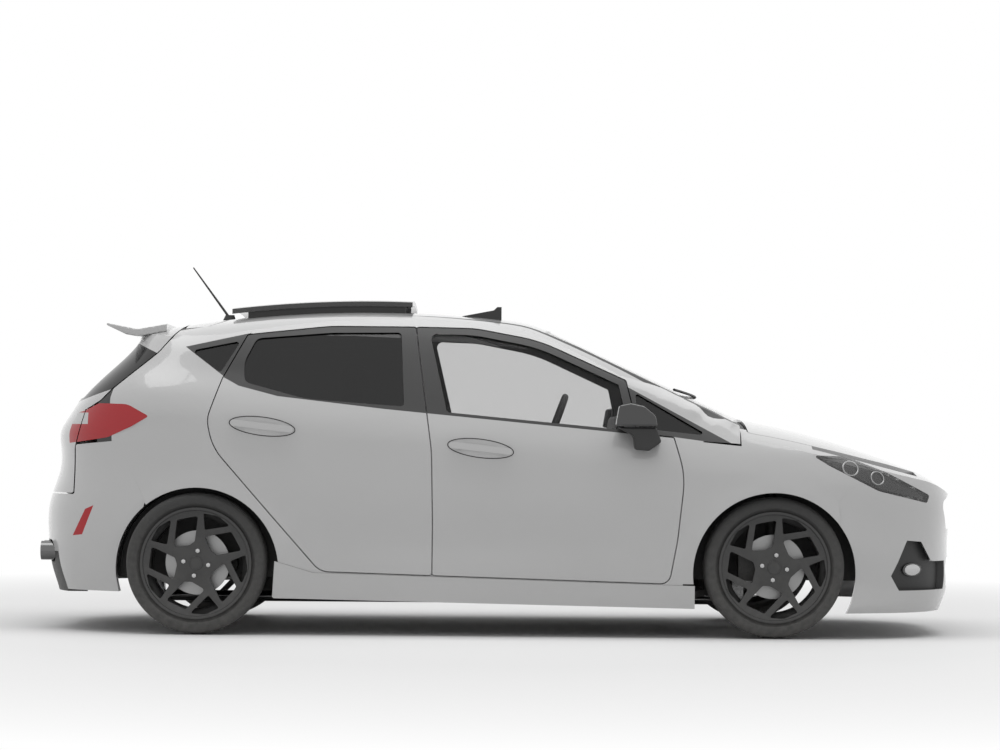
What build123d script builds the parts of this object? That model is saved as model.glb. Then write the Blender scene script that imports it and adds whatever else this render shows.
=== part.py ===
from build123d import *
import math
import os

os.makedirs("parts", exist_ok=True)

# driving sizes, mm: +X forward, +Y left, +Z up, ground at zero
car_length = 4068
nose_x = car_length / 2
half_width = 867
wheelbase = 2493
front_axle_x = 1189
rear_axle_x = front_axle_x - wheelbase
tyre_radius = 308
tyre_width = 205
rim_radius = 236
wheel_y = 748
shut_gap = 5
seat_gap = 0.4
skin_depth = 28
door_depth = 100
frame_depth = 46
rebate = 30
belt_z = 931
crease_z = 797
wedge = 0.095
front_arch_radius = 352
rear_arch_radius = 356
front_house_radius = 390
arch_drop = 30
kingpin_y = -706
steer_sweep = 332
far = 1100
deep = 160


def lerp(table, z):
    for (z0, a), (z1, b) in zip(table, table[1:]):
        if z <= z1:
            t = max(0.0, (z - z0) / (z1 - z0))
            return a + (b - a) * t
    return table[-1][1]


# side profile of nose and tail at the centre line: height, distance from the middle
nose_profile = [(100, 1972), (200, 2008), (320, 2014), (450, 2014), (560, 2020)]
nose_profile = nose_profile + [(640, 2012), (720, 1985), (800, 1940), (860, 1890)]
tail_profile = [(120, 1960), (260, 2000), (420, 2022), (540, 2020), (620, 1998)]
tail_profile = tail_profile + [(700, 1972), (800, 1968), (870, 1970), (940, 1930)]
tail_profile = tail_profile + [(1010, 1880), (1130, 1762), (1250, 1640), (1340, 1548), (1420, 1466)]


def roof_mid(x):
    z = 1427 - 9.6e-5 * (x + 560) ** 2
    if x > 45:
        d = min(x, 202) - 45
        z = z - 0.00075 * d ** 2
    if x > 202:
        d = x - 202
        z = 1352 - 0.38 * d
    return z


def roof_top(x, y):
    return roof_mid(x) - 32 * (y / 600) ** 2 - 18 * (y / 600) ** 8


def screen_edge(x):
    return 1150 - 0.46 * (x - 551)


def screen_top(x, y):
    return screen_edge(x) + 42 * (1 - (y / 700) ** 2)


def bonnet_mid(x):
    d = x - 1153
    z = 938 - 0.19 * d - 1.5e-4 * d * d
    if x > 1850:
        z = z - 0.00154 * (x - 1850) ** 2
    return z


def bonnet_top(x, y):
    return bonnet_mid(x) - 45 * (y / 700) ** 2 - 20 * (y / 760) ** 8


def side_base(x, z):
    # half width of the body before the plan rounding of nose and tail
    crease = crease_z - wedge * x
    belt = belt_z - wedge * x
    if z < crease:
        d = crease - z
        scallop = 9 * math.exp(-(((z - 400) / 95) ** 2)) * math.exp(-(((x + 50) / 750) ** 4))
        return half_width - 0.02 * d - 26 * (d / 650) ** 1.6 - scallop
    d = min(z, belt) - crease
    w = half_width - 0.12 * d - 28 * (d / (belt_z - crease_z)) ** 2
    if z > belt:
        h = z - belt
        top = min(roof_mid(x) - 50, screen_edge(x))
        if x > 1000:
            top = max(top, belt + 160)
        q = h / max(120, top - belt)
        round_in = q ** 8 if q < 1 else 1 + 8 * (q - 1)
        w = w - 0.42 * h - 1.8e-4 * h * h - 20 * round_in
        w = w * (1 - 0.02 * ((x + 200) / 1000) ** 2 * min(1, h / 100))
    return w


def flare(x, z):
    df = math.hypot(x - front_axle_x, z - tyre_radius + arch_drop)
    dr = math.hypot(x - rear_axle_x, z - tyre_radius + arch_drop)
    f = 11 * math.exp(-(((df - front_arch_radius) / 45) ** 2))
    return f + 11 * math.exp(-(((dr - rear_arch_radius) / 45) ** 2))


def round_nose(z):
    return 3.5


def round_tail(z):
    return 3.6 + 1.2 * min(1, max(0, (z - 900) / 300))


front_start = 900
rear_start = -700


def plan_round(u, n):
    # rounded plan, carried on straight past its useful end
    s = min(u, 0.9)
    w = (1 - s ** n) ** (1 / n)
    slope = (s / w) ** (n - 1)
    return w - slope * (u - s)


def side_width(x, z):
    w = side_base(x, z)
    if x > front_start:
        w = w * plan_round((x - front_start) / (lerp(nose_profile, z) - front_start), round_nose(z))
    if x < rear_start:
        w = w * plan_round((rear_start - x) / (lerp(tail_profile, z) + rear_start), round_tail(z))
    return w + flare(x, z)


def steps(a, b, n):
    return [a + (b - a) * i / n for i in range(n + 1)]


def skin_face(place, us, vs, back):
    # smooth face through a grid of formula points, taken from a thin loft of its sections
    marks = [i / (len(us) - 1) for i in range(len(us))]
    wires = []
    for v in vs:
        front = [Vector(*place(u, v)) for u in us]
        rear = [p + Vector(*back) for p in reversed(front)]
        edge_a = Edge.make_spline(front, parameters=marks)
        edge_b = Edge.make_spline(rear, parameters=marks)
        ends = [Edge.make_line(edge_a @ 1, edge_b @ 0), Edge.make_line(edge_b @ 1, edge_a @ 0)]
        wires.append(Wire([edge_a, ends[0], edge_b, ends[1]]))
    block = Solid.make_loft(wires)
    big = block.faces().sort_by(SortBy.AREA)[-2:]
    return min(big, key=lambda f: f.center().dot(Vector(*back)))


side_skin = skin_face(lambda x, z: (x, -side_width(x, z), z), steps(-1760, 1600, 46), steps(90, 1420, 28), (0, 50, 0))
roof_skin = skin_face(lambda x, y: (x, y, roof_top(x, y)), steps(-1780, 700, 30), steps(-690, 690, 20), (0, 0, -50))
screen_skin = skin_face(lambda x, y: (x, y, screen_top(x, y)), steps(0, 1330, 6), steps(-900, 900, 10), (0, 0, -50))
bonnet_skin = skin_face(lambda x, y: (x, y, bonnet_top(x, y)), steps(960, 2090, 30), steps(-860, 860, 24), (0, 0, -50))


def side_slab(start, depth):
    return extrude(Pos(0, start, 0) * side_skin, amount=depth, dir=(0, 1, 0), mode=Mode.PRIVATE)


def under(skin, start, depth):
    return extrude(Pos(0, 0, -start) * skin, amount=depth, dir=(0, 0, -1), mode=Mode.PRIVATE)


def ring_points(z, profile, start, power, x_end, inset, sign):
    # plan points of the nose or tail at one height, right side first
    reach = lerp(profile, z) - abs(start) - inset
    n = power(z)
    first = math.asin(((abs(x_end) - abs(start)) / reach) ** (n / 2))
    pts = []
    for k in range(12):
        a = first + (math.pi / 2 - first) * (1 - (1 - k / 12) ** 1.3)
        x = sign * (abs(start) + reach * math.sin(a) ** (2 / n))
        y = (side_base(x, z) - inset) * math.cos(a) ** (2 / n) + flare(x, z) * math.cos(a)
        pts.append((x, -y))
    tip = [(sign * (abs(start) + reach), 0)]
    return pts + tip + [(x, -y) for x, y in reversed(pts)]


def ring_block(levels, profile, start, power, x_end, inset, sign):
    wires = []
    for z in levels:
        pts = [Vector(x, y, z) for x, y in ring_points(z, profile, start, power, x_end, inset, sign)]
        curve = Edge.make_spline(pts, parameters=[i / 24 for i in range(25)])
        wires.append(Wire([curve, Edge.make_line(pts[-1], pts[0])]))
    return Solid.make_loft(wires)


nose_levels = [105, 200, 320, 450, 560, 640, 720, 800, 860]
tail_levels = [150, 260, 420, 540, 620, 700, 800, 870, 940, 1010, 1130, 1250, 1340, 1420]
nose_out = ring_block(nose_levels, nose_profile, front_start, round_nose, 1320, 0, 1)
nose_in = ring_block(nose_levels, nose_profile, front_start, round_nose, 1300, 34, 1)
tail_out = ring_block(tail_levels, tail_profile, rear_start, round_tail, -1320, 0, -1)
tail_in = ring_block(tail_levels, tail_profile, rear_start, round_tail, -1300, 60, -1)
over_roof = extrude(roof_skin, amount=500, dir=(0, 0, 1))
over_screen = extrude(screen_skin, amount=500, dir=(0, 0, 1))
over_bonnet = extrude(bonnet_skin, amount=500, dir=(0, 0, 1))


def outline(*corners):
    # closed side-view outline: x, z and corner radius of each corner
    with BuildSketch(Plane.XZ) as area:
        with BuildLine():
            spots = [(x, z) for x, z, r in corners]
            FilletPolyline(*spots, radius=[r for x, z, r in corners], close=True)
        make_face()
    return area.sketch


def plan(*corners):
    # closed outline seen from above: x, y and corner radius
    with BuildSketch(Plane.XY) as area:
        with BuildLine():
            spots = [(x, y) for x, y, r in corners]
            FilletPolyline(*spots, radius=[r for x, y, r in corners], close=True)
        make_face()
    return area.sketch


def through(sketch):
    return extrude(sketch, amount=far, mode=Mode.PRIVATE)


def across(sketch):
    return extrude(sketch, amount=far, both=True, mode=Mode.PRIVATE)


def grown(sketch, amount):
    return offset(sketch, amount=amount, kind=Kind.INTERSECTION, mode=Mode.PRIVATE)


def circle_at(x, z, r):
    with BuildSketch(Plane.XZ) as area:
        with Locations((x, z)):
            Circle(r)
    return area.sketch


def box_at(x0, x1, y0, y1, z0, z1):
    return Pos((x0 + x1) / 2, (y0 + y1) / 2, (z0 + z1) / 2) * Box(x1 - x0, y1 - y0, z1 - z0, mode=Mode.PRIVATE)


def left_of(part):
    return mirror(part, about=Plane.XZ, mode=Mode.PRIVATE)


def largest(part):
    # drop slivers that a cut leaves behind
    return part.solids().sort_by(SortBy.VOLUME)[-1]


# side-view outlines: x forward, z up, corner radius
b_foot = (-287, 262, 12)
b_low = (-286, 500, 900)
b_belt = (-292, 800, 700)
b_top = (-368, 1340, 12)
front_door_area = outline(
    (735, 234, 45), b_foot, b_low, b_belt, b_top, (-110, 1336, 500), (170, 1284, 700),
    (548, 1112, 10), (575, 1000, 60), (592, 884, 8), (753, 866, 12), (800, 700, 400), (770, 420, 700),
)
rear_door_area = outline(
    (-770, 276, 90), (-1238, 810, 250), (-1262, 930, 130), (-1202, 1106, 60), (-1100, 1300, 12),
    (-740, 1340, 700), b_top, b_belt, b_low, b_foot,
)
front_pane_area = outline(
    (-307, 1312, 25), (-110, 1306, 500), (165, 1254, 700), (518, 1092, 14), (538, 1000, 60),
    (540, 896, 14), (-229, 967, 20),
)
rear_pane_area = outline(
    (-1060, 1284, 40), (-740, 1311, 700), (-431, 1315, 20), (-413, 990, 14), (-840, 1020, 600),
    (-1106, 1092, 30), (-1110, 1180, 100),
)
front_quarter_area = outline((588, 1058, 8), (602, 905, 8), (905, 874, 8))
rear_quarter_area = outline((-1345, 1228, 12), (-1128, 1272, 10), (-1212, 1130, 14))
belt_area = outline(
    (1200, 836, 0), (-500, 994, 0), (-960, 1046, 0), (-1130, 1090, 0), (-1330, 1200, 0), (-1420, 1262, 0), (-1420, 1460, 0),
    (1200, 1460, 0)
)
wing_area = outline(
    (600, 236, 0), (1550, 229, 0), (1550, 700, 0), (1400, 940, 0), (1045, 1060, 0), (1045, 830, 0), (753, 858, 0), (600, 900, 0),
)
frame_area = outline(
    (1040, 840, 0), (1040, 980, 0), (780, 1250, 0), (250, 1460, 0), (-1394, 1460, 0),
    (-1750, 1100, 0), (-1750, 780, 0), (-1525, 560, 0), (-1525, 170, 0),
    (880, 170, 0), (880, 850, 0),
)
skirt_area = outline(
    (-975, 160, 10), (845, 128, 0), (845, 227, 0), (735, 229, 0), (-287, 257, 0), (-800, 271, 0), (-965, 320, 0)
)
lamp_area = outline(
    (1351, 793, 6), (1500, 790, 120), (1680, 720, 300), (1880, 622, 12), (1866, 588, 8), (1640, 640, 150), (1424, 748, 200)
)
tail_lamp_area = outline(
    (-1515, 940, 6), (-1612, 992, 90), (-1745, 996, 40), (-1810, 966, 0), (-1850, 826, 0), (-1700, 848, 80), (-1593, 896, 120)
)
gate_lamp_area = outline((-1815, 964, 0), (-2050, 900, 0), (-2050, 800, 0), (-1855, 826, 0))
gate_area = outline(
    (-1390, 1460, 0), (-1390, 1346, 0), (-1492, 1223, 200), (-1690, 1060, 60), (-1740, 1010, 40),
    (-1815, 966, 0), (-1862, 800, 40), (-1862, 604, 10), (-2100, 604, 0), (-2100, 1460, 0),
)
rear_bumper_area = outline(
    (-1650, 834, 4), (-1636, 797, 0), (-1530, 573, 20), (-1620, 180, 0), (-2100, 180, 0), (-2100, 598, 0),
    (-1856, 598, 10), (-1856, 815, 10),
)
front_bumper_area = outline(
    (1533, 664, 0), (1464, 592, 10), (1490, 112, 0), (2100, 112, 0), (2100, 900, 0), (1356, 900, 0), (1356, 785, 0)
)
front_arch_area = circle_at(front_axle_x, tyre_radius - arch_drop, front_arch_radius)
front_house_area = circle_at(front_axle_x, tyre_radius - arch_drop, front_house_radius)
rear_arch_area = circle_at(rear_axle_x, tyre_radius - arch_drop, rear_arch_radius)
front_door_face = grown(front_door_area, -shut_gap / 2)
rear_door_face = grown(rear_door_area, -shut_gap / 2)
above_belt = through(belt_area)
side_wall = side_slab(0, door_depth)


def door_solid(face, pane):
    box_limit = side_slab(skin_depth, deep) - through(grown(face, -rebate))
    upper_limit = side_slab(frame_depth, deep) & above_belt
    return (through(face) & side_wall) - box_limit - upper_limit - through(pane)


def pane_solid(area):
    return through(area) & side_slab(9, 5)


def handle_solid(x, z):
    bar = outline((x - 135, z + 28, 13), (x - 135, z, 13), (x + 135, z - 30, 13), (x + 135, z - 2, 13))
    posts = outline((x - 115, z + 22, 6), (x - 115, z + 2, 6), (x - 75, z - 2, 6), (x - 75, z + 18, 6))
    bar_part = through(bar) & side_slab(-34, 13)
    post = through(posts) & side_slab(-30, 40)
    return bar_part + post + Pos(185, 0, -17) * post


def hinge_leaf(x, z):
    # pad on the pillar that the closed door's flange rests against, beside its hinge line
    leaf = outline((x - 7, z - 50, 3), (x - 7, z + 50, 3), (x + 7, z + 50, 3), (x + 7, z - 50, 3))
    return through(leaf) & side_slab(skin_depth + seat_gap, shut_gap + 4)


front_handle = handle_solid(-81, 814)
rear_handle = handle_solid(-1022, 902)
with BuildPart() as door_front_right:
    add(door_solid(front_door_face, front_pane_area))
    add(front_handle)
with BuildPart() as door_rear_right:
    add(door_solid(rear_door_face, rear_pane_area))
    add(rear_handle)
with BuildPart() as glass_front_right:
    add(pane_solid(front_pane_area))
with BuildPart() as glass_rear_right:
    add(pane_solid(rear_pane_area))

# body side: pillars, roof rail, quarter panel and sill as one piece each side
rebate_layer = side_slab(-20, skin_depth + shut_gap + 20)
front_leaf = hinge_leaf(779, 690)
rear_leaf = hinge_leaf(-300, 500)
with BuildPart() as side_frame:
    add(through(frame_area) & side_slab(0, 150))
    add(over_roof, mode=Mode.SUBTRACT)
    add(over_screen, mode=Mode.SUBTRACT)
    add(side_slab(62, deep) & above_belt, mode=Mode.SUBTRACT)
    add(rebate_layer & through(grown(front_door_area, shut_gap / 2)), mode=Mode.SUBTRACT)
    add(rebate_layer & through(grown(rear_door_area, shut_gap / 2)), mode=Mode.SUBTRACT)
    add(through(grown(front_door_face, shut_gap - rebate)), mode=Mode.SUBTRACT)
    add(through(grown(rear_door_face, shut_gap - rebate)), mode=Mode.SUBTRACT)
    add(rebate_layer & through(wing_area), mode=Mode.SUBTRACT)
    add(front_leaf)
    add(rear_leaf)
    add(through(grown(front_house_area, 8)), mode=Mode.SUBTRACT)
    add(side_slab(-20, 60) & through(grown(skirt_area, 0.5)), mode=Mode.SUBTRACT)
    add(through(grown(gate_area, shut_gap)), mode=Mode.SUBTRACT)
    add(through(tail_lamp_area), mode=Mode.SUBTRACT)
    add(through(rear_bumper_area), mode=Mode.SUBTRACT)
    add(through(rear_arch_area), mode=Mode.SUBTRACT)
    add(through(front_quarter_area), mode=Mode.SUBTRACT)
    add(through(rear_quarter_area), mode=Mode.SUBTRACT)
with BuildPart() as body_sides:
    add(largest(side_frame.part))
    mirror(about=Plane.XZ)
with BuildPart() as fixed_side_glass:
    add(pane_solid(front_quarter_area))
    add(pane_solid(rear_quarter_area))
    mirror(about=Plane.XZ)
with BuildPart() as side_skirts:
    add(through(skirt_area) & side_slab(-4, 42))
    mirror(about=Plane.XZ)

# bonnet and wings share the top skin
bonnet_plan = plan(
    (1080, -728, 20), (1400, -712, 700), (1600, -665, 400), (1800, -510, 400), (1925, -230, 400),
    (1925, 230, 400), (1800, 510, 400), (1600, 665, 400), (1400, 712, 700), (1080, 728, 20),
)
with BuildPart() as bonnet:
    add(across(bonnet_plan) & under(bonnet_skin, 0, 32))
bonnet_room = across(grown(bonnet_plan, shut_gap)) & under(bonnet_skin, -60, 100)
with BuildPart() as wing:
    add(through(wing_area) & side_slab(0, 92))
    add(over_bonnet, mode=Mode.SUBTRACT)
    add(bonnet_room, mode=Mode.SUBTRACT)
    add(side_slab(skin_depth, deep) & box_at(500, 890, -1000, 0, 100, 1100), mode=Mode.SUBTRACT)
    add(through(front_arch_area), mode=Mode.SUBTRACT)
    add(through(front_house_area) & side_slab(20, deep), mode=Mode.SUBTRACT)
    add(through(grown(front_door_area, shut_gap / 2)), mode=Mode.SUBTRACT)
    add(through(lamp_area), mode=Mode.SUBTRACT)
    add(through(front_bumper_area), mode=Mode.SUBTRACT)
with BuildPart() as front_wings:
    add(largest(wing.part))
    mirror(about=Plane.XZ)

# front end: bumper shell, grilles and lamps from one rounded nose
with BuildSketch(Plane.YZ) as upper_grille_area:
    with BuildLine():
        spots = [(-560, 588), (-470, 470), (470, 470), (560, 588), (420, 620), (-420, 620)]
        FilletPolyline(*spots, radius=28, close=True)
    make_face()
with BuildSketch(Plane.YZ) as lower_grille_area:
    with BuildLine():
        spots = [(-430, 215), (430, 215), (480, 300), (430, 345), (-430, 345), (-480, 300)]
        FilletPolyline(*spots, radius=22, close=True)
    make_face()
upper_grille_cut = extrude(upper_grille_area.sketch, amount=2200)
lower_grille_cut = extrude(lower_grille_area.sketch, amount=2200)
fog_area = outline(
    (1700, 272, 20), (1730, 330, 20), (1772, 426, 15), (1840, 420, 15), (1890, 335, 20), (1985, 330, 0), (1985, 208, 0), (1735, 212, 20)
)
fog_reach = box_at(1600, 2100, -760, -500, 150, 500) + box_at(1600, 2100, 500, 760, 150, 500)
fog_cut = across(fog_area) & fog_reach
with BuildPart() as bumper_shell:
    add(nose_out & across(front_bumper_area))
    add(over_bonnet, mode=Mode.SUBTRACT)
    add(nose_in & box_at(1300, 2100, -900, 900, 100, 612), mode=Mode.SUBTRACT)
    add(box_at(1300, 1830, -900, 900, 100, 900) & nose_in, mode=Mode.SUBTRACT)
    add(bonnet_room, mode=Mode.SUBTRACT)
    add(across(front_arch_area), mode=Mode.SUBTRACT)
    add(across(front_house_area) & ring_block(nose_levels, nose_profile, front_start, round_nose, 1300, 20, 1), mode=Mode.SUBTRACT)
    add(upper_grille_cut, mode=Mode.SUBTRACT)
    add(lower_grille_cut, mode=Mode.SUBTRACT)
    add(fog_cut & (nose_out - ring_block(nose_levels, nose_profile, front_start, round_nose, 1300, 24, 1)), mode=Mode.SUBTRACT)
    add(across(lamp_area), mode=Mode.SUBTRACT)
with BuildPart() as front_bumper:
    add(largest(bumper_shell.part))
with BuildPart() as headlamps:
    add((nose_out & across(lamp_area)) - over_bonnet)
    add(ring_block(nose_levels, nose_profile, front_start, round_nose, 1300, 120, 1), mode=Mode.SUBTRACT)
    add(bonnet_room, mode=Mode.SUBTRACT)

# tail: one rounded block cut into tailgate, bumper and lamps, right half first
right_half = box_at(-2200, 2200, -1000, 0, 0, 1600)
with BuildSketch(Plane.YZ) as rear_pane_sketch:
    with BuildLine():
        spots = [(-560, 1020), (560, 1020), (470, 1285), (-470, 1285)]
        FilletPolyline(*spots, radius=50, close=True)
    make_face()
rear_pane_cut = extrude(rear_pane_sketch.sketch, amount=-2200)
tail_skin_in = ring_block(tail_levels, tail_profile, rear_start, round_tail, -1300, 8, -1)
tail_glass_in = ring_block(tail_levels, tail_profile, rear_start, round_tail, -1300, 13, -1)
tail_half = tail_out & right_half
with BuildSketch(Plane.YZ) as tip_slot:
    with Locations((-378, 345)):
        RectangleRounded(220, 100, 45)
tip_room = extrude(tip_slot.sketch, amount=-2200)
tail_wall = tail_half - tail_in
with BuildPart() as tailgate:
    add(tail_half & through(gate_area))
    add(over_roof, mode=Mode.SUBTRACT)
    add((tail_in & right_half) - under(roof_skin, -200, 250), mode=Mode.SUBTRACT)
    add(through(grown(tail_lamp_area, 5)), mode=Mode.SUBTRACT)
    add(through(gate_lamp_area) - box_at(-2200, -1300, -560, 560, 700, 1100), mode=Mode.SUBTRACT)
    add(rear_pane_cut, mode=Mode.SUBTRACT)
    mirror(about=Plane.XZ)
with BuildPart() as rear_window:
    add((tail_skin_in - tail_glass_in) & rear_pane_cut)
with BuildPart() as gate_lamps:
    add(tail_wall & through(gate_lamp_area))
    add(box_at(-2200, -1300, -560, 560, 700, 1100), mode=Mode.SUBTRACT)
    mirror(about=Plane.XZ)
with BuildPart() as tail_lamps:
    add(tail_wall & through(tail_lamp_area))
    mirror(about=Plane.XZ)
with BuildPart() as rear_bumper:
    add(tail_wall & through(rear_bumper_area))
    add(through(rear_arch_area), mode=Mode.SUBTRACT)
    add(box_at(-2200, -1700, -530, 530, 100, 345), mode=Mode.SUBTRACT)
    mirror(about=Plane.XZ)
    add(tip_room, mode=Mode.SUBTRACT)

# roof with the sunroof opening, windscreen, scuttle
rail_room = side_slab(-140, 202)
with BuildPart() as roof_panel:
    with BuildSketch(Plane.XY) as roof_plan:
        with BuildLine():
            edge = [(x, 50 - side_width(x, roof_mid(x) - 50)) for x in steps(-1385, 196, 8)]
            Spline(*edge)
            Spline(edge[-1], (230, 0), (edge[-1][0], -edge[-1][1]))
            Spline(*[(x, -y) for x, y in reversed(edge)])
            Line((edge[0][0], -edge[0][1]), edge[0])
        make_face()
    extrude(amount=1600)
    add(under(roof_skin, 0, 34), mode=Mode.INTERSECT)
    add(box_at(-760, 5, -400, 400, 1000, 1600), mode=Mode.SUBTRACT)
    add(rail_room, mode=Mode.SUBTRACT)
    add(left_of(rail_room), mode=Mode.SUBTRACT)
with BuildPart() as windscreen:
    with BuildSketch(Plane.XY) as screen_plan:
        with BuildLine():
            edge = [(x, 40 - side_width(x, screen_edge(x) - 4)) for x in steps(196, 1030, 8)]
            Spline(*edge)
            Spline(edge[-1], (1062, 0), (edge[-1][0], -edge[-1][1]))
            Spline(*[(x, -y) for x, y in reversed(edge)])
            Spline((edge[0][0], -edge[0][1]), (230, 0), edge[0])
        make_face()
    extrude(amount=1600)
    add(under(screen_skin, 0, 6), mode=Mode.INTERSECT)
    add(rail_room, mode=Mode.SUBTRACT)
    add(left_of(rail_room), mode=Mode.SUBTRACT)

with BuildPart() as diffuser:
    add(tail_wall & box_at(-2200, -1700, -530, 0, 170, 345))
    mirror(about=Plane.XZ)
    add(tip_room, mode=Mode.SUBTRACT)
with BuildPart() as roof_spoiler:
    with BuildSketch(Plane.XZ) as spoiler_side:
        with BuildLine():
            spots = [(-1470, 1352), (-1600, 1330), (-1735, 1352), (-1742, 1338), (-1640, 1262), (-1470, 1300)]
            FilletPolyline(*spots, radius=5, close=True)
        make_face()
    extrude(amount=530, both=True)
    add(tail_out - over_roof, mode=Mode.SUBTRACT)
with BuildPart() as sunroof_panel:
    add(under(roof_skin, -50, 22) & box_at(-1190, -390, -430, 430, 1000, 1600))
with BuildPart() as sunroof_rails:
    add(under(roof_skin, -28, 28) & (box_at(-1120, -420, -422, -404, 1000, 1600) + box_at(-1120, -420, 404, 422, 1000, 1600)))
with BuildPart() as wind_deflector:
    with BuildSketch(Plane.XZ) as arm_side:
        with BuildLine():
            Polyline((-186, 1375), (5, 1360), (5, 1440), (-14, 1440), (-30, 1425), (-186, 1395), (-186, 1375))
        make_face()
    extrude(amount=400, both=True)
    add(box_at(-400, -14, -385, 385, 1000, 1600), mode=Mode.SUBTRACT)
with BuildPart() as aerial:
    with BuildSketch(Plane.XY.offset(1370)):
        with Locations((-1240, 0)):
            Ellipse(36, 18)
    with BuildSketch(Plane.XY.offset(1410)):
        with Locations((-1236, 0)):
            Ellipse(20, 9)
    loft()
    mast = Plane(origin=(-1240, 0, 1400), z_dir=(-170, 0, 232))
    with BuildSketch(mast):
        Circle(6)
    with BuildSketch(mast.offset(280)):
        Circle(3)
    loft()
    add(under(roof_skin, 0, 200), mode=Mode.SUBTRACT)

# floor, bulkhead, wheel housings
right_side_room = side_slab(-60, 210)
with BuildPart() as half_floor:
    add(box_at(-800, 905, -760, 0, 168, 196))
    add(box_at(-800, -780, -760, 0, 196, 330))
    add(box_at(-1120, -780, -760, 0, 310, 330))
    add(box_at(-1120, -1100, -545, 0, 330, 420))
    add(box_at(905, 925, -478, 0, 168, 880))
    add(box_at(-1760, -1100, -556, 0, 400, 420))
    add(box_at(-780, 905, -110, 0, 196, 300))
    add(right_side_room, mode=Mode.SUBTRACT)
    add(tail_half - tail_in, mode=Mode.SUBTRACT)
    with BuildSketch(Plane.XY):
        with Locations((front_axle_x, kingpin_y)):
            Circle(steer_sweep)
    extrude(amount=330, mode=Mode.SUBTRACT)
    add(across(grown(rear_arch_area, 8)) & box_at(-1800, -800, -1000, -560, 0, 800), mode=Mode.SUBTRACT)
with BuildPart() as floor_pan:
    add(largest(half_floor.part))
    mirror(about=Plane.XZ)
with BuildPart() as scuttle:
    add(under(bonnet_skin, 14, 70) & box_at(975, 1074, -715, 715, 600, 1100))
    add(under(screen_skin, -60, 66), mode=Mode.SUBTRACT)
    add(right_side_room, mode=Mode.SUBTRACT)
    add(left_of(right_side_room), mode=Mode.SUBTRACT)
    add(front_wings.part, mode=Mode.SUBTRACT)
bonnet_hinges = box_at(1050, 1130, -640, -590, 600, 1100) + box_at(1050, 1130, 590, 640, 600, 1100)
with BuildPart() as cowl:
    add(largest(scuttle.part))
    add(under(bonnet_skin, 32 + seat_gap, 25) & bonnet_hinges)
steer_plane = Plane(origin=(232, -370, 880), z_dir=(-0.94, 0, 0.342))
with BuildPart() as engine_block:
    add(box_at(1060, 1450, -330, 330, 245, 700))
with BuildPart() as dashboard:
    with BuildSketch(Plane.XZ) as dash_side:
        with BuildLine():
            spots = [(905, 640), (905, 880), (640, 985), (520, 960), (500, 860), (620, 640)]
            FilletPolyline(*spots, radius=20, close=True)
        make_face()
    extrude(amount=650, both=True)
    with BuildSketch(steer_plane.offset(-12 - seat_gap)):
        Circle(32)
    extrude(amount=-380)
with BuildPart() as front_seats:
    with Locations((-270, -370, 400)):
        Box(520, 480, 160)
    with Locations(Location((-560, -370, 720), (0, -18, 0))):
        Box(150, 470, 640)
    with Locations(Location((-640, -370, 1110), (0, -14, 0))):
        Box(90, 260, 170)
    add(box_at(-480, -60, -560, -180, 196, 330))
    mirror(about=Plane.XZ)
with BuildPart() as rear_bench:
    with Locations((-925, 0, 410)):
        Box(345, 1090, 160)
    with Locations(Location((-1258, 0, 760), (0, -20, 0))):
        Box(130, 1090, 640)
with BuildPart() as steering_wheel:
    with BuildSketch(Plane(steer_plane.origin, x_dir=(0, 1, 0), z_dir=(0.342, 0, 0.94))):
        with Locations((172, 0)):
            Circle(15)
    revolve(axis=Axis(steer_plane.origin, steer_plane.z_dir))
    with BuildSketch(steer_plane):
        Circle(62)
        Rectangle(40, 330)
        with Locations((90, 0)):
            Rectangle(160, 36)
    extrude(amount=12, both=True)

# running gear at the right front, then copied
with BuildPart() as tyre:
    with BuildSketch(Plane.YZ):
        with BuildLine():
            spots = [(-88, 233), (-89, 243), (-102, 266), (-97, 292), (-78, 306), (0, 308), (78, 306), (97, 292)]
            spots = spots + [(102, 266), (89, 243), (88, 233), (76, 233), (84, 262), (80, 288), (-80, 288), (-84, 262), (-76, 233)]
            Polyline(*spots, close=True)
        make_face()
    revolve(axis=Axis.Y)


def spoke_point(radius, angle):
    turn = math.radians(angle)
    return radius * math.cos(turn), radius * math.sin(turn)


# wheel face: each spoke forks into a radial arm and a leaning arm, angles counted from its fork
spoke_count = 5
spoke_start = 6.8
spoke_pitch = 360 / spoke_count
fork_radius = 120
hub_radius = 82
petal_radius = 204
slot_radius = 217
lean_angle = -34
radial_angle = 6
arm_half_angle = 3
with BuildSketch() as petal_window:
    with BuildLine():
        corners = [spoke_point(fork_radius, -6), spoke_point(hub_radius, lean_angle - 4)]
        corners = corners + [spoke_point(hub_radius + 12, lean_angle - 23)]
        corners = corners + [spoke_point(petal_radius, radial_angle + arm_half_angle - spoke_pitch)]
        corners = corners + [spoke_point(petal_radius, lean_angle - arm_half_angle)]
        FilletPolyline(*corners, radius=[10, 32, 15, 9, 9], close=True)
    make_face()
with BuildSketch() as slot_window:
    with BuildLine():
        corners = [spoke_point(fork_radius + 28, -3), spoke_point(slot_radius, lean_angle + arm_half_angle)]
        corners = corners + [spoke_point(slot_radius + 8, (lean_angle + radial_angle) / 2)]
        corners = corners + [spoke_point(slot_radius, radial_angle - arm_half_angle)]
        FilletPolyline(*corners, radius=[7, 6, 60, 6], close=True)
    make_face()
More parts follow.
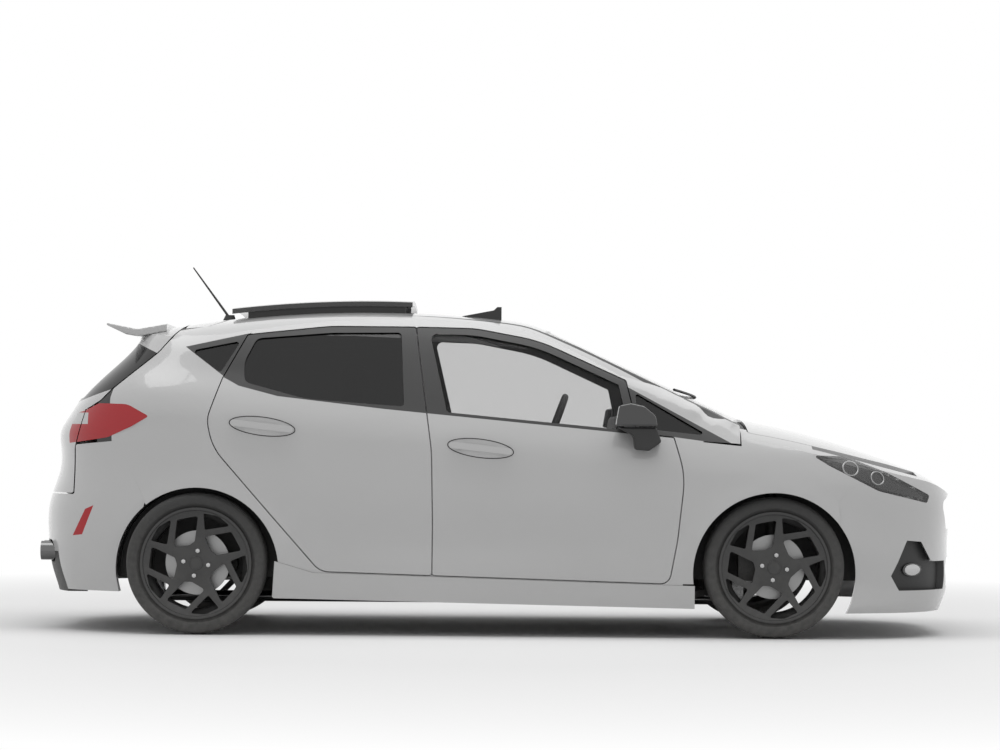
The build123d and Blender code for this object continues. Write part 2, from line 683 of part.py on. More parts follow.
with BuildPart() as rim:
    with BuildSketch(Plane.YZ):
        with BuildLine():
            spots = [(0, 0), (0, 70), (-54, 84), (-64, 214), (-70, 227), (-90, 227), (-80, 120), (-80, 0)]
            Polyline(*spots, close=True)
        make_face()
    revolve(axis=Axis.Y)
    with BuildSketch(Plane.XZ):
        with PolarLocations(0, spoke_count, start_angle=spoke_start):
            add(petal_window.sketch)
            add(slot_window.sketch)
    extrude(amount=120, mode=Mode.SUBTRACT)
    with BuildSketch(Plane.YZ):
        with BuildLine():
            spots = [(-98, 240), (-90, 240), (-89, 233), (-74, 231), (-46, 207), (60, 207), (78, 231), (89, 233)]
            spots = spots + [(90, 240), (98, 240), (98, 224), (66, 199), (-50, 199), (-70, 220), (-98, 229)]
            Polyline(*spots, close=True)
        make_face()
    revolve(axis=Axis.Y)
with BuildPart() as disc:
    with BuildSketch(Plane.XZ.offset(-22)):
        Circle(139)
    extrude(amount=22)
    with Locations((0, 11, 0)):
        Cylinder(34, 40, rotation=(90, 0, 0), mode=Mode.SUBTRACT)


def at_wheel(part, x, side):
    # the right wheels face -Y, the left ones are mirrored
    if side < 0:
        return Pos(x, -wheel_y, tyre_radius) * part
    return Pos(x, wheel_y, tyre_radius) * mirror(part, about=Plane.XZ, mode=Mode.PRIVATE)


ball = Vector(front_axle_x, kingpin_y, 200)
mount = Vector(front_axle_x, -580, 790)
pin = (mount - ball).normalized()
strut_radius = 22
strut_foot = Vector(front_axle_x, -650, 330)
lean = (mount - strut_foot).normalized()
with BuildPart() as knuckle_right:
    with BuildSketch(Plane.XZ.offset(wheel_y - 27)):
        with Locations((front_axle_x, tyre_radius)):
            Circle(52)
    extrude(amount=-40)
    with BuildSketch(Plane(ball, z_dir=pin)):
        Circle(20)
    extrude(amount=200)
    with BuildSketch(Plane(strut_foot, z_dir=lean)):
        Circle(strut_radius)
    extrude(amount=455)
    add(box_at(front_axle_x - 150, front_axle_x - 80, -762, -690, tyre_radius - 60, tyre_radius + 60))
    add(box_at(front_axle_x - 110, front_axle_x, -700, -680, tyre_radius - 30, tyre_radius + 30))
    add(at_wheel(Pos(0, 11, 0) * Cylinder(146, 34, rotation=(90, 0, 0), mode=Mode.PRIVATE), front_axle_x, -1), mode=Mode.SUBTRACT)
    add(at_wheel(Pos(0, -60, 0) * Cylinder(75, 140, rotation=(90, 0, 0), mode=Mode.PRIVATE), front_axle_x, -1), mode=Mode.SUBTRACT)
with BuildPart() as front_subframe:
    add(box_at(1110, 1300, -330, 330, 180, 245))
    add(box_at(1150, 1228, -676, -330, 180, 205))
    add(box_at(1150, 1228, 330, 676, 180, 205))
    add(box_at(925, 1110, -150, 150, 196, 225))
with BuildPart() as rear_axle:
    with BuildSketch(Plane.XZ.offset(640)):
        with Locations((rear_axle_x + 120, 300)):
            Circle(45)
    extrude(amount=-1280)
    for side in (-1, 1):
        with BuildSketch(Plane.XZ.offset(-side * 640)):
            with Locations((rear_axle_x, tyre_radius)):
                Circle(45)
        extrude(amount=-side * (wheel_y - 27 - 640))
        add(box_at(rear_axle_x - 40, rear_axle_x + 120, side * 640 - 20, side * 640 + 20, 270, 330))
        add(box_at(rear_axle_x + 120, -1120, side * 520 - 20, side * 520 + 20, 270, 330))
front_liner_area = circle_at(front_axle_x, tyre_radius - arch_drop, front_house_radius + 7)
with BuildPart() as wheel_liners:
    add(across(front_liner_area) & box_at(600, 1800, -790, -478, 240, 800))
    add(across(front_house_area) & box_at(600, 1800, -1000, -485, 0, 800), mode=Mode.SUBTRACT)
    add(across(grown(rear_arch_area, 7)) & box_at(-1800, -600, -712, -556, 240, 800))
    add(across(rear_arch_area) & box_at(-1800, -600, -1000, -562, 0, 800), mode=Mode.SUBTRACT)
    add(side_slab(-60, 212), mode=Mode.SUBTRACT)
    add(floor_pan.part, mode=Mode.SUBTRACT)
    add(rear_axle.part, mode=Mode.SUBTRACT)
    with BuildSketch(Plane(strut_foot, z_dir=lean)):
        Circle(strut_radius + 25)
    extrude(amount=500, mode=Mode.SUBTRACT)
    mirror(about=Plane.XZ)
with BuildPart() as exhaust:
    with BuildSketch(Plane.YZ.offset(-2026)):
        with Locations((-330, 345), (-426, 345)):
            Circle(42)
            Circle(37, mode=Mode.SUBTRACT)
    extrude(amount=150)
    add(box_at(-1880, -1860, -472, -284, 300, 390))
    add(box_at(-1862, -1640, -480, -150, 240, 380))
    with BuildSketch(Plane.YZ.offset(-1640)):
        with Locations((-200, 300)):
            Circle(28)
    extrude(amount=120)
    add(box_at(-1540, -1500, -228, -172, 130, 328))
    with BuildSketch(Plane.YZ.offset(-1540)):
        with Locations((-200, 140)):
            Circle(24)
    extrude(amount=2610)
    add(box_at(1050, 1100, -230, -170, 116, 245))
with BuildPart() as grille:
    with BuildSketch(Plane.YZ.offset(1936)):
        with Locations((0, 545), (0, 280)):
            Rectangle(1300, 126)
    extrude(amount=8)
    add(nose_in, mode=Mode.INTERSECT)
    with BuildSketch(Plane.YZ.offset(1936)):
        with Locations((0, 545), (0, 280)):
            with HexLocations(25, 16, 3):
                RegularPolygon(25, 6)
    extrude(amount=8, mode=Mode.SUBTRACT)

with BuildPart() as mirror_right:
    add(box_at(505, 668, -968, -815, 850, 1009))
    fillet(mirror_right.edges(), radius=28)
    add(box_at(600, 680, -890, -780, 800, 858))
    add(side_slab(0, 300), mode=Mode.SUBTRACT)

pieces = {
    "body_sides": body_sides.part, "roof_panel": roof_panel.part, "floor_pan": floor_pan.part,
    "wheel_liners": wheel_liners.part, "front_wings": front_wings.part, "front_bumper": front_bumper.part,
    "rear_bumper": rear_bumper.part, "diffuser": diffuser.part, "side_skirts": side_skirts.part,
    "windscreen": windscreen.part, "fixed_side_glass": fixed_side_glass.part, "headlamps": headlamps.part,
    "tail_lamps": tail_lamps.part, "grille": grille.part, "exhaust": exhaust.part, "engine_block": engine_block.part,
    "dashboard": dashboard.part, "front_seats": front_seats.part, "rear_bench": rear_bench.part,
    "front_subframe": front_subframe.part, "rear_axle": rear_axle.part, "aerial": aerial.part, "cowl": cowl.part,
    "sunroof_panel": sunroof_panel.part, "sunroof_rails": sunroof_rails.part, "wind_deflector": wind_deflector.part,
    "bonnet": bonnet.part, "tailgate": tailgate.part, "rear_window": rear_window.part, "gate_lamps": gate_lamps.part,
    "roof_spoiler": roof_spoiler.part, "steering_wheel": steering_wheel.part,
    "door_front_right": door_front_right.part, "door_front_left": left_of(door_front_right.part),
    "door_rear_right": door_rear_right.part, "door_rear_left": left_of(door_rear_right.part),
    "glass_front_right": glass_front_right.part, "glass_front_left": left_of(glass_front_right.part),
    "glass_rear_right": glass_rear_right.part, "glass_rear_left": left_of(glass_rear_right.part),
    "mirror_right": mirror_right.part, "mirror_left": left_of(mirror_right.part),
    "knuckle_right": knuckle_right.part, "knuckle_left": left_of(knuckle_right.part),
}
for spot, x, side in [("front_right", front_axle_x, -1), ("front_left", front_axle_x, 1),
                      ("rear_right", rear_axle_x, -1), ("rear_left", rear_axle_x, 1)]:
    pieces["tyre_" + spot] = at_wheel(tyre.part, x, side)
    pieces["rim_" + spot] = at_wheel(rim.part, x, side)
    pieces["disc_" + spot] = at_wheel(disc.part, x, side)
for name, part in pieces.items():
    part.label = name
    export_step(part, "parts/" + name + ".step", write_pcurves=False)
    print(name, len(part.solids()))
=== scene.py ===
import bpy
import math
from mathutils import Matrix, Vector


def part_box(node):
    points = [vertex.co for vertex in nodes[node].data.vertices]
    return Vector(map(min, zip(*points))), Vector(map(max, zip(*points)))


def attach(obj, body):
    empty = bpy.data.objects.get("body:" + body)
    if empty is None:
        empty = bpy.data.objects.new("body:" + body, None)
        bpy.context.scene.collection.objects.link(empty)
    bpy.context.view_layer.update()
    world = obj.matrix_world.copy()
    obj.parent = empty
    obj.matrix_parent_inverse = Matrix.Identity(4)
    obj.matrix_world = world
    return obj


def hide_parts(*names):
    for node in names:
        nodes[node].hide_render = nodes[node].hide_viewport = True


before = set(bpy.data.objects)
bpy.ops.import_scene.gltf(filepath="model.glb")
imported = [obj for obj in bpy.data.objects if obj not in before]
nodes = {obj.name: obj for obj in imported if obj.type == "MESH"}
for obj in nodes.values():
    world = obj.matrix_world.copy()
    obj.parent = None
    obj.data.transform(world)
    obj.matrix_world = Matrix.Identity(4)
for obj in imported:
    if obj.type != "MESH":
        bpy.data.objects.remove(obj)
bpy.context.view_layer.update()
print("frame loaded:", len(nodes), "nodes")


# shared shader tools
def addNode(tree, kind, links=(), **values):
    node = tree.nodes.new(kind)
    for key, value in values.items():
        setattr(node, key, value)
    for socket, source in links:
        if hasattr(source, "is_output"):
            tree.links.new(source, node.inputs[socket])
        else:
            node.inputs[socket].default_value = source
    return node


def mathNode(tree, operation, a, b=0.0):
    return addNode(tree, "ShaderNodeMath", [(0, a), (1, b)], operation=operation).outputs[0]


def newGroup(name, inputs, outputs):
    group = bpy.data.node_groups.new(name, "ShaderNodeTree")
    for label, kind, value in inputs:
        socket = group.interface.new_socket(label, in_out="INPUT", socket_type=kind)
        if value is not None:
            socket.default_value = value
    for label, kind in outputs:
        group.interface.new_socket(label, in_out="OUTPUT", socket_type=kind)
    return group, group.nodes.new("NodeGroupInput"), group.nodes.new("NodeGroupOutput")


noiseSpan = (0.3, 0.7)
grainSet = {"detail": 3.0, "bumpDistance": 0.001}


# noise between two values, for roughness, with its height for a bump
def makeGrainGroup():
    group, given, result = newGroup(
        "fineGrain",
        [("Vector", "NodeSocketVector", None), ("Scale", "NodeSocketFloat", 300.0),
         ("Low", "NodeSocketFloat", 0.3), ("High", "NodeSocketFloat", 0.5)],
        [("Value", "NodeSocketFloat"), ("Height", "NodeSocketFloat")])
    noise = addNode(group, "ShaderNodeTexNoise",
                    [("Vector", given.outputs["Vector"]), ("Scale", given.outputs["Scale"]),
                     ("Detail", grainSet["detail"])])
    ramp = addNode(group, "ShaderNodeMapRange",
                   [("Value", noise.outputs["Fac"]), ("From Min", noiseSpan[0]), ("From Max", noiseSpan[1]),
                    ("To Min", given.outputs["Low"]), ("To Max", given.outputs["High"])])
    group.links.new(ramp.outputs["Result"], result.inputs["Value"])
    group.links.new(noise.outputs["Fac"], result.inputs["Height"])
    return group


tintSet = {"broadScale": 2.3, "broadDetail": 2.0, "speckScale": 38.0, "speckDetail": 4.0, "ground": 0.02}
dustColour = (0.33, 0.32, 0.30, 1.0)


# a colour with broad, slight unevenness and a film of road dust near the ground
def makeTintGroup():
    group, given, result = newGroup(
        "roadTint",
        [("Vector", "NodeSocketVector", None), ("Colour", "NodeSocketColor", None),
         ("Dust", "NodeSocketColor", None), ("Spread", "NodeSocketFloat", 0.04),
         ("Dust Amount", "NodeSocketFloat", 0.1), ("Dust Top", "NodeSocketFloat", 0.4)],
        [("Colour", "NodeSocketColor"), ("Dust Mask", "NodeSocketFloat")])
    vector = given.outputs["Vector"]
    broad = addNode(group, "ShaderNodeTexNoise",
                    [("Vector", vector), ("Scale", tintSet["broadScale"]), ("Detail", tintSet["broadDetail"])])
    shade = addNode(group, "ShaderNodeMapRange",
                    [("Value", broad.outputs["Fac"]), ("From Min", noiseSpan[0]), ("From Max", noiseSpan[1]),
                     ("To Min", 0.0), ("To Max", given.outputs["Spread"])])
    darker = addNode(group, "ShaderNodeMix",
                     [(0, shade.outputs["Result"]), (6, given.outputs["Colour"]), (7, (0.0, 0.0, 0.0, 1.0))],
                     data_type="RGBA")
    height = addNode(group, "ShaderNodeSeparateXYZ", [(0, vector)]).outputs["Z"]
    low = addNode(group, "ShaderNodeMapRange",
                  [("Value", height), ("From Min", given.outputs["Dust Top"]), ("From Max", tintSet["ground"]),
                   ("To Min", 0.0), ("To Max", given.outputs["Dust Amount"])])
    speck = addNode(group, "ShaderNodeTexNoise",
                    [("Vector", vector), ("Scale", tintSet["speckScale"]), ("Detail", tintSet["speckDetail"])])
    mask = mathNode(group, "MULTIPLY", low.outputs["Result"], speck.outputs["Fac"])
    dusty = addNode(group, "ShaderNodeMix", [(0, mask), (6, darker.outputs[2]), (7, given.outputs["Dust"])],
                    data_type="RGBA")
    group.links.new(dusty.outputs[2], result.inputs["Colour"])
    group.links.new(mask, result.inputs["Dust Mask"])
    return group


grainGroup = makeGrainGroup()
tintGroup = makeTintGroup()


# display levels, as read off a picture, turned into shader colours
def linear(level):
    return level / 12.92 if level <= 0.04045 else ((level + 0.055) / 1.055) ** 2.4


def grey(level):
    return (linear(level), linear(level), linear(level), 1.0)


# one principled material with uneven colour, grainy roughness and a fine bump
def makeFinish(name, colour, rough, grainScale=300.0, bump=0.0, spread=0.05, dust=0.0, dustTop=0.4, **sockets):
    mat = bpy.data.materials.new(name)
    mat.use_nodes = True
    tree = mat.node_tree
    shader = tree.nodes["Principled BSDF"]
    place = addNode(tree, "ShaderNodeTexCoord").outputs["Object"]
    tint = addNode(tree, "ShaderNodeGroup", node_tree=tintGroup)
    grain = addNode(tree, "ShaderNodeGroup", node_tree=grainGroup)
    for group in (tint, grain):
        tree.links.new(place, group.inputs["Vector"])
    tint.inputs["Colour"].default_value = colour
    tint.inputs["Dust"].default_value = dustColour
    tint.inputs["Spread"].default_value = spread
    tint.inputs["Dust Amount"].default_value = dust
    tint.inputs["Dust Top"].default_value = dustTop
    grain.inputs["Scale"].default_value = grainScale
    grain.inputs["Low"].default_value = rough[0]
    grain.inputs["High"].default_value = rough[1]
    tree.links.new(tint.outputs["Colour"], shader.inputs["Base Color"])
    tree.links.new(grain.outputs["Value"], shader.inputs["Roughness"])
    if bump:
        relief = addNode(tree, "ShaderNodeBump",
                         [("Height", grain.outputs["Height"]), ("Strength", bump),
                          ("Distance", grainSet["bumpDistance"])])
        tree.links.new(relief.outputs["Normal"], shader.inputs["Normal"])
    for socket, value in sockets.items():
        shader.inputs[socket.replace("_", " ")].default_value = value
    return mat


paint = {"colour": grey(0.735), "rough": (0.30, 0.34), "coat": 1.0, "coatRough": 0.04}
paintGrain = {"grainScale": 900.0, "bump": 0.02, "spread": 0.02, "dust": 0.12, "dustTop": 0.45}
bodyPaint = makeFinish("bodyPaint", paint["colour"], paint["rough"], Coat_Weight=paint["coat"],
                       Coat_Roughness=paint["coatRough"], **paintGrain)
darkTrim = makeFinish("darkTrim", grey(0.17), (0.42, 0.6), grainScale=700.0, bump=0.12, spread=0.1,
                      dust=0.25, dustTop=0.5)
blackGloss = makeFinish("blackGloss", grey(0.05), (0.08, 0.14), grainScale=200.0, spread=0.1,
                        Coat_Weight=1.0, Coat_Roughness=0.03)
wheelDark = makeFinish("wheelDark", grey(0.25), (0.38, 0.5), grainScale=900.0, bump=0.05, spread=0.08,
                       dust=0.15, dustTop=0.6, Metallic=0.45)
discSteel = makeFinish("discSteel", grey(0.62), (0.28, 0.42), grainScale=420.0, bump=0.08, spread=0.1,
                       dust=0.1, dustTop=0.6, Metallic=0.9)
castIron = makeFinish("castIron", grey(0.2), (0.55, 0.75), grainScale=160.0, bump=0.3, spread=0.2,
                      dust=0.3, dustTop=0.6, Metallic=0.3)
underBody = makeFinish("underBody", grey(0.13), (0.6, 0.8), grainScale=120.0, bump=0.3, spread=0.2,
                       dust=0.3, dustTop=0.5)
cabinPlastic = makeFinish("cabinPlastic", grey(0.16), (0.5, 0.65), grainScale=850.0, bump=0.3, spread=0.1)
chromeTip = makeFinish("chromeTip", grey(0.45), (0.08, 0.2), grainScale=150.0, spread=0.15, Metallic=1.0)


glassRough = (0.02, 0.032)


def makeGlass(name, colour, alpha):
    mat = makeFinish(name, colour, glassRough, grainScale=3.0)
    mat.node_tree.nodes["Principled BSDF"].inputs["Alpha"].default_value = alpha
    return mat


clearGlass = makeGlass("clearGlass", grey(0.25), 0.16)
tintedGlass = makeGlass("tintedGlass", grey(0.06), 0.86)
lampGlass = makeGlass("lampGlass", grey(0.6), 0.25)
redGlow = (0.40, 0.004, 0.010, 1.0)

tyreRubber = makeFinish("tyreRubber", grey(0.19), (0.62, 0.8), grainScale=420.0, bump=0.2, spread=0.12,
                        dust=0.3, dustTop=0.7)
nutSteel = makeFinish("nutSteel", grey(0.72), (0.2, 0.32), spread=0.1, Metallic=1.0)
lampInside = makeFinish("lampInside", grey(0.10), (0.2, 0.35), grainScale=200.0, spread=0.1)
fogGlass = makeFinish("fogGlass", grey(0.78), (0.1, 0.2), grainScale=90.0, bump=0.1, spread=0.2,
                      Metallic=0.6, Coat_Weight=1.0)
seatCloth = makeFinish("seatCloth", grey(0.17), (0.75, 0.9), grainScale=1400.0, bump=0.5, spread=0.12)

lines = ["Line A", "Line B", "Line C", "Line D"]
edgeBlur = 0.0006


# areas of the paint seen from the side: a region lies inside up to four lines, a*x + b*z + c > 0 in metres
def makeRegionGroup():
    group, given, result = newGroup(
        "sideRegion",
        [("Vector", "NodeSocketVector", None), ("Side Min", "NodeSocketFloat", -1.0)]
        + [(line, "NodeSocketVector", (0.0, 0.0, 1.0)) for line in lines],
        [("Mask", "NodeSocketFloat")])
    parts = addNode(group, "ShaderNodeSeparateXYZ", [(0, given.outputs["Vector"])])
    flat = addNode(group, "ShaderNodeCombineXYZ", [(0, parts.outputs["X"]), (1, parts.outputs["Z"]), (2, 1.0)])
    side = mathNode(group, "ABSOLUTE", parts.outputs["Y"])
    inside = mathNode(group, "SUBTRACT", side, given.outputs["Side Min"])
    for line in lines:
        reach = addNode(group, "ShaderNodeVectorMath", [(0, flat.outputs[0]), (1, given.outputs[line])],
                        operation="DOT_PRODUCT").outputs["Value"]
        inside = mathNode(group, "MINIMUM", inside, reach)
    edge = addNode(group, "ShaderNodeMapRange",
                   [("Value", inside), ("From Min", -edgeBlur), ("From Max", edgeBlur)])
    group.links.new(edge.outputs["Result"], result.inputs["Mask"])
    return group


# the cabin side of a panel: nearer the middle than a limit that falls in above the belt line
def makeCabinGroup():
    group, given, result = newGroup(
        "cabinSide",
        [("Vector", "NodeSocketVector", None), ("Limit", "NodeSocketFloat", 0.78),
         ("Lean", "NodeSocketFloat", 0.5), ("Belt", "NodeSocketFloat", 0.95)],
        [("Mask", "NodeSocketFloat")])
    parts = addNode(group, "ShaderNodeSeparateXYZ", [(0, given.outputs["Vector"])])
    rise = mathNode(group, "SUBTRACT", parts.outputs["Z"], given.outputs["Belt"])
    above = mathNode(group, "MAXIMUM", rise, 0.0)
    shift = mathNode(group, "MULTIPLY", above, given.outputs["Lean"])
    side = mathNode(group, "ADD", mathNode(group, "ABSOLUTE", parts.outputs["Y"]), shift)
    mask = mathNode(group, "LESS_THAN", side, given.outputs["Limit"])
    group.links.new(mask, result.inputs["Mask"])
    return group


regionGroup = makeRegionGroup()
cabinGroup = makeCabinGroup()


# body paint with areas in a second, satin finish
def makePanel(name, regions, second, secondRough=0.45, sideMin=-1.0, cabinLimit=0.0,
              base=paint["colour"], coat=paint["coat"]):
    mat = makeFinish(name, base, paint["rough"], Coat_Roughness=paint["coatRough"], **paintGrain)
    tree = mat.node_tree
    shader = tree.nodes["Principled BSDF"]
    place = addNode(tree, "ShaderNodeTexCoord").outputs["Object"]
    mask = 0.0
    for region in regions:
        area = addNode(tree, "ShaderNodeGroup", node_tree=regionGroup)
        tree.links.new(place, area.inputs["Vector"])
        area.inputs["Side Min"].default_value = sideMin
        for line, values in zip(lines, region):
            area.inputs[line].default_value = values
        mask = mathNode(tree, "MAXIMUM", mask, area.outputs["Mask"])
    if cabinLimit:
        cabin = addNode(tree, "ShaderNodeGroup", node_tree=cabinGroup)
        tree.links.new(place, cabin.inputs["Vector"])
        cabin.inputs["Limit"].default_value = cabinLimit
        mask = mathNode(tree, "MAXIMUM", mask, cabin.outputs["Mask"])
    first = shader.inputs["Base Color"].links[0].from_socket
    rough = shader.inputs["Roughness"].links[0].from_socket
    mixed = addNode(tree, "ShaderNodeMix", [(0, mask), (6, first), (7, second)], data_type="RGBA")
    tree.links.new(mixed.outputs[2], shader.inputs["Base Color"])
    both = addNode(tree, "ShaderNodeMix", [(0, mask), (2, rough), (3, secondRough)], data_type="FLOAT")
    tree.links.new(both.outputs[0], shader.inputs["Roughness"])
    clear = addNode(tree, "ShaderNodeMapRange", [("Value", mask), ("To Min", coat), ("To Max", 0.0)])
    tree.links.new(clear.outputs["Result"], shader.inputs["Coat Weight"])
    return mat


beltLines = [(0.0929, 1.0, -0.9325), (0.1130, 1.0, -0.9225), (0.2588, 1.0, -0.7825), (0.55, 1.0, -0.4535)]
mirrorPatch = [(0.1316, 1.0, -0.9662), (-0.541, -1.0, 1.3838), (1.0, 0.0, -0.54)]
quarterPatch = [(0.7436, 1.0, -0.2263), (0.2201, -1.0, 1.5465), (-1.0, 0.0, -1.085)]
fogLower = [(0.0, -1.0, 0.3335), (0.0, 1.0, -0.2085), (0.864, 0.504, -1.606), (0.888, -0.459, -1.3847)]
fogUpper = [(0.916, -0.4008, -1.4524), (-0.088, -1.0, 0.582), (-0.862, -0.507, 1.799), (0.0, 1.0, -0.32)]
reflectorPatch = [(0.4359, -1.0, 1.3205), (1.95, -1.0, 4.0489), (-0.1304, 1.0, -0.6608), (-2.415, 1.0, -4.8096)]
gatePatch = [(-0.4627, -1.0, 0.5242), (-0.3185, 1.0, -1.596)]
whitePatch = [(1.0, 0.0, 1.885), (-1.0, 0.0, -1.797), (0.0, 1.0, -0.905), (0.0, -1.0, 0.955)]
satinBlack = grey(0.20)
doorPaint = makePanel("doorPaint", [beltLines], satinBlack, cabinLimit=0.785)
sidePaint = makePanel("sidePaint", [mirrorPatch, quarterPatch], satinBlack, cabinLimit=0.75)
nosePaint = makePanel("nosePaint", [fogLower, fogUpper], grey(0.16), 0.5, sideMin=0.49)
tailPaint = makePanel("tailPaint", [reflectorPatch], redGlow, 0.3, sideMin=0.4)
gatePaint = makePanel("gatePaint", [gatePatch], grey(0.06), 0.12)
lensRed = makePanel("lensRed", [whitePatch], grey(0.78), 0.2, base=redGlow, coat=0.25)

finishOf = {
    "body_sides": sidePaint, "roof_panel": bodyPaint, "front_wings": bodyPaint, "front_bumper": nosePaint,
    "rear_bumper": tailPaint, "bonnet": bodyPaint, "tailgate": gatePaint, "side_skirts": bodyPaint,
    "roof_spoiler": bodyPaint, "floor_pan": underBody, "wheel_liners": darkTrim, "diffuser": darkTrim,
    "windscreen": clearGlass, "fixed_side_glass": tintedGlass, "rear_window": tintedGlass,
    "headlamps": lampGlass, "tail_lamps": lensRed, "gate_lamps": lensRed, "grille": blackGloss,
    "exhaust": chromeTip, "engine_block": castIron, "dashboard": cabinPlastic, "front_seats": cabinPlastic,
    "rear_bench": cabinPlastic, "front_subframe": underBody, "rear_axle": underBody, "aerial": darkTrim,
    "cowl": darkTrim, "sunroof_panel": tintedGlass, "sunroof_rails": darkTrim, "wind_deflector": darkTrim,
    "steering_wheel": cabinPlastic,
}
startsWith = {"door_": doorPaint, "glass_front": clearGlass, "glass_rear": tintedGlass, "mirror_": blackGloss,
              "knuckle_": castIron, "tyre_": tyreRubber, "rim_": wheelDark, "disc_": discSteel}
for name, node in nodes.items():
    finish = finishOf.get(name)
    for start, other in startsWith.items():
        if name.startswith(start):
            finish = other
    node.data.materials.clear()
    node.data.materials.append(finish)
print("finishes set")


# tools for pieces
def activate(obj):
    bpy.ops.object.select_all(action="DESELECT")
    obj.select_set(True)
    bpy.context.view_layer.objects.active = obj


def newPiece(name, points, edges=(), faces=()):
    mesh = bpy.data.meshes.new(name)
    mesh.from_pydata(points, edges, faces)
    obj = bpy.data.objects.new(name, mesh)
    bpy.context.collection.objects.link(obj)
    activate(obj)
    return obj


mergeSet = {"copy": 0.0001, "spin": 0.00005}


def copyNode(nodeName, pieceName):
    obj = bpy.data.objects.new(pieceName, nodes[nodeName].data.copy())
    bpy.context.collection.objects.link(obj)
    activate(obj)
    bpy.ops.object.mode_set(mode="EDIT")
    bpy.ops.mesh.select_all(action="SELECT")
    bpy.ops.mesh.remove_doubles(threshold=mergeSet["copy"])
    bpy.ops.mesh.normals_make_consistent(inside=False)
    bpy.ops.object.mode_set(mode="OBJECT")
    return obj


def applyModifier(obj, kind, **values):
    activate(obj)
    modifier = obj.modifiers.new("shape", kind)
    for key, value in values.items():
        setattr(modifier, key, value)
    bpy.ops.object.modifier_apply(modifier=modifier.name)


def joinAll(pieces, name):
    bpy.ops.object.select_all(action="DESELECT")
    for piece in pieces:
        piece.select_set(True)
    bpy.context.view_layer.objects.active = pieces[0]
    bpy.ops.object.join()
    pieces[0].name = name
    return pieces[0]


def placeAt(obj, matrix):
    obj.data.transform(matrix)
    obj.data.update()
    return obj


def finishPiece(obj, finish, body, stands=(), angle=32.0):
    activate(obj)
    bpy.ops.object.shade_smooth_by_angle(angle=math.radians(angle))
    obj.data.materials.clear()
    obj.data.materials.append(finish)
    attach(obj, body)
    if stands:
        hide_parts(*stands)
    return obj


# closed profile of (y, radius) points spun about the wheel's own axle line through the origin
def spinProfile(name, profile, steps):
    points = [(0.0, y, r) for y, r in profile]
    edges = [(i, (i + 1) % len(points)) for i in range(len(points))]
    obj = newPiece(name, points, edges)
    bpy.ops.object.mode_set(mode="EDIT")
    bpy.ops.mesh.select_all(action="SELECT")
    bpy.ops.mesh.spin(steps=steps, angle=2.0 * math.pi, center=(0, 0, 0), axis=(0, 1, 0))
    bpy.ops.mesh.select_all(action="SELECT")
    bpy.ops.mesh.remove_doubles(threshold=mergeSet["spin"])
    bpy.ops.mesh.normals_make_consistent(inside=False)
    bpy.ops.object.mode_set(mode="OBJECT")
    return obj


# wheels: tyres with a grooved tread, bevelled rims, nuts and plain centre caps
tyreSet = {"half": [(0.088, 0.2335), (0.0905, 0.2405), (0.0965, 0.2500), (0.1000, 0.2530), (0.1010, 0.2590),
                    (0.1018, 0.2660), (0.1015, 0.2740), (0.0998, 0.2830), (0.0965, 0.2915), (0.0890, 0.3000),
                    (0.0780, 0.3055), (0.0620, 0.3068), (0.0600, 0.3000), (0.0520, 0.3000), (0.0500, 0.3074),
                    (0.0240, 0.3079), (0.0220, 0.3005), (0.0140, 0.3005), (0.0120, 0.3079)],
           "inner": [(0.076, 0.2335), (0.084, 0.262), (0.080, 0.288)], "steps": 120,
           "shoulder": (0.300, 0.3066), "crown": 0.064, "every": 3, "inset": 0.0016, "groove": 0.0045}
nutSet = {"radius": 0.0105, "length": 0.014, "sides": 6, "bevel": 0.0022, "ring": 0.054, "count": 4,
          "start": -8.0, "face": -0.080}
capSet = {"profile": [(-0.079, 0.0001), (-0.079, 0.0300), (-0.0835, 0.0300), (-0.0850, 0.0285),
                      (-0.0850, 0.0250), (-0.0838, 0.0240), (-0.0848, 0.0120), (-0.0850, 0.0001)],
          "steps": 40}
rimSet = {"bevel": 0.0024, "segments": 2, "sharp": 32.0}


def makeTyre():
    outer = tyreSet["half"] + [(-y, r) for y, r in reversed(tyreSet["half"])]
    inner = [(-y, r) for y, r in tyreSet["inner"]] + list(reversed(tyreSet["inner"]))
    tyre = spinProfile("tyreModel", outer + inner, tyreSet["steps"])
    least, most = tyreSet["shoulder"]
    for face in tyre.data.polygons:
        centre = face.center
        radius = math.hypot(centre.x, centre.z)
        onShoulder = least < radius < most and abs(centre.y) > tyreSet["crown"]
        around = math.degrees(math.atan2(centre.z, centre.x)) + 360.0
        turn = round(around * tyreSet["steps"] / 360.0 - 0.5)
        face.select = onShoulder and turn % tyreSet["every"] == 0
    bpy.ops.object.mode_set(mode="EDIT")
    bpy.ops.mesh.select_mode(type="FACE")
    bpy.ops.mesh.inset(thickness=tyreSet["inset"], depth=-tyreSet["groove"], use_individual=False)
    bpy.ops.object.mode_set(mode="OBJECT")
    return tyre


